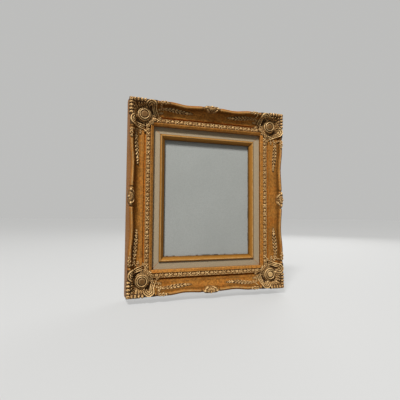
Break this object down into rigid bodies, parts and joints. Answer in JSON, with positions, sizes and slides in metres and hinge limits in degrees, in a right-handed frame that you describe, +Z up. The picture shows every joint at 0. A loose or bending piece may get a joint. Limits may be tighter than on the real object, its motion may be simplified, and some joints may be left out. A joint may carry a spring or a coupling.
{
  "type": "picture frame",
  "caption": "Ornate gilded picture frame: swept mitred moulding with cast leaf corners, linen liner and gilt fillet round a blank panel, hung on a wall by two hinged rings.",
  "frame": {"origin": "on the wall plane, which the back faces of the bumpers touch, behind the middle of the picture", "axes": "+X to the right for someone facing the picture, +Y into the wall, +Z up"},
  "size_m": [0.3456, 0.0514, 0.3964],
  "materials": {
    "gilded_moulding": "gilded and toned over red bole",
    "gilded_ornament": "gilded cast composition with a grey-brown wash",
    "gilt_fillet": "bright gilding",
    "linen": "plain woven natural linen",
    "bare_wood": "sawn pine",
    "primed_panel": "matt grey priming",
    "backing": "brown hardboard",
    "steel": "zinc plated",
    "rubber": "matt"
  },
  "bodies": {
    "frame": {"backing_board": "backing", "bumper_left": "rubber", "bumper_right": "rubber", "centre_ornament_bottom": "gilded_ornament", "centre_ornament_left": "gilded_ornament", "centre_ornament_right": "gilded_ornament", "centre_ornament_top": "gilded_ornament", "corner_ornament_bottom_left": "gilded_ornament", "corner_ornament_bottom_right": "gilded_ornament", "corner_ornament_top_left": "gilded_ornament", "corner_ornament_top_right": "gilded_ornament", "corner_v_nails": "steel", "fillet_bottom": "gilt_fillet", "fillet_left": "gilt_fillet", "fillet_right": "gilt_fillet", "fillet_top": "gilt_fillet", "hanger_screws": "steel", "hanger_strap_left": "steel", "hanger_strap_right": "steel", "leaf_spray_bottom_1": "gilded_ornament", "leaf_spray_bottom_2": "gilded_ornament", "leaf_spray_left_1": "gilded_ornament", "leaf_spray_left_2": "gilded_ornament", "leaf_spray_right_1": "gilded_ornament", "leaf_spray_right_2": "gilded_ornament", "leaf_spray_top_1": "gilded_ornament", "leaf_spray_top_2": "gilded_ornament", "linen_bottom": "linen", "linen_left": "linen", "linen_right": "linen", "linen_top": "linen", "liner_bottom": "bare_wood", "liner_left": "bare_wood", "liner_points": "steel", "liner_right": "bare_wood", "liner_top": "bare_wood", "picture_panel": "primed_panel", "rail_bottom": "gilded_moulding", "rail_left": "gilded_moulding", "rail_right": "gilded_moulding", "rail_top": "gilded_moulding", "running_ornament_bottom": "gilded_ornament", "running_ornament_left": "gilded_ornament", "running_ornament_right": "gilded_ornament", "running_ornament_top": "gilded_ornament", "turn_button_screws": "steel"},
    "turn_button_bottom": {"turn_button_bottom": "steel"},
    "turn_button_left": {"turn_button_left": "steel"},
    "turn_button_right": {"turn_button_right": "steel"},
    "turn_button_top": {"turn_button_top": "steel"},
    "d_ring_left": {"d_ring_left": "steel"},
    "d_ring_right": {"d_ring_right": "steel"}
  },
  "joints": [
    {"name": "turn_button_top_turn", "type": "hinge", "parent": "frame", "child": "turn_button_top", "pos_m": [0, -0.0103, 0.14185], "axis": [0, 1, 0], "range_deg": [-90, 90]},
    {"name": "turn_button_bottom_turn", "type": "hinge", "parent": "frame", "child": "turn_button_bottom", "pos_m": [0, -0.0103, -0.14185], "axis": [0, 1, 0], "range_deg": [-90, 90]},
    {"name": "turn_button_left_turn", "type": "hinge", "parent": "frame", "child": "turn_button_left", "pos_m": [-0.11645, -0.0103, 0], "axis": [0, 1, 0], "range_deg": [-90, 90]},
    {"name": "turn_button_right_turn", "type": "hinge", "parent": "frame", "child": "turn_button_right", "pos_m": [0.11645, -0.0103, 0], "axis": [0, 1, 0], "range_deg": [-90, 90]},
    {"name": "d_ring_left_swing", "type": "hinge", "parent": "frame", "child": "d_ring_left", "pos_m": [-0.1408, -0.0028, 0.0657], "axis": [0, 0, 1], "range_deg": [0, 150]},
    {"name": "d_ring_right_swing", "type": "hinge", "parent": "frame", "child": "d_ring_right", "pos_m": [0.1408, -0.0028, 0.0657], "axis": [0, 0, -1], "range_deg": [0, 150]}
  ]
}
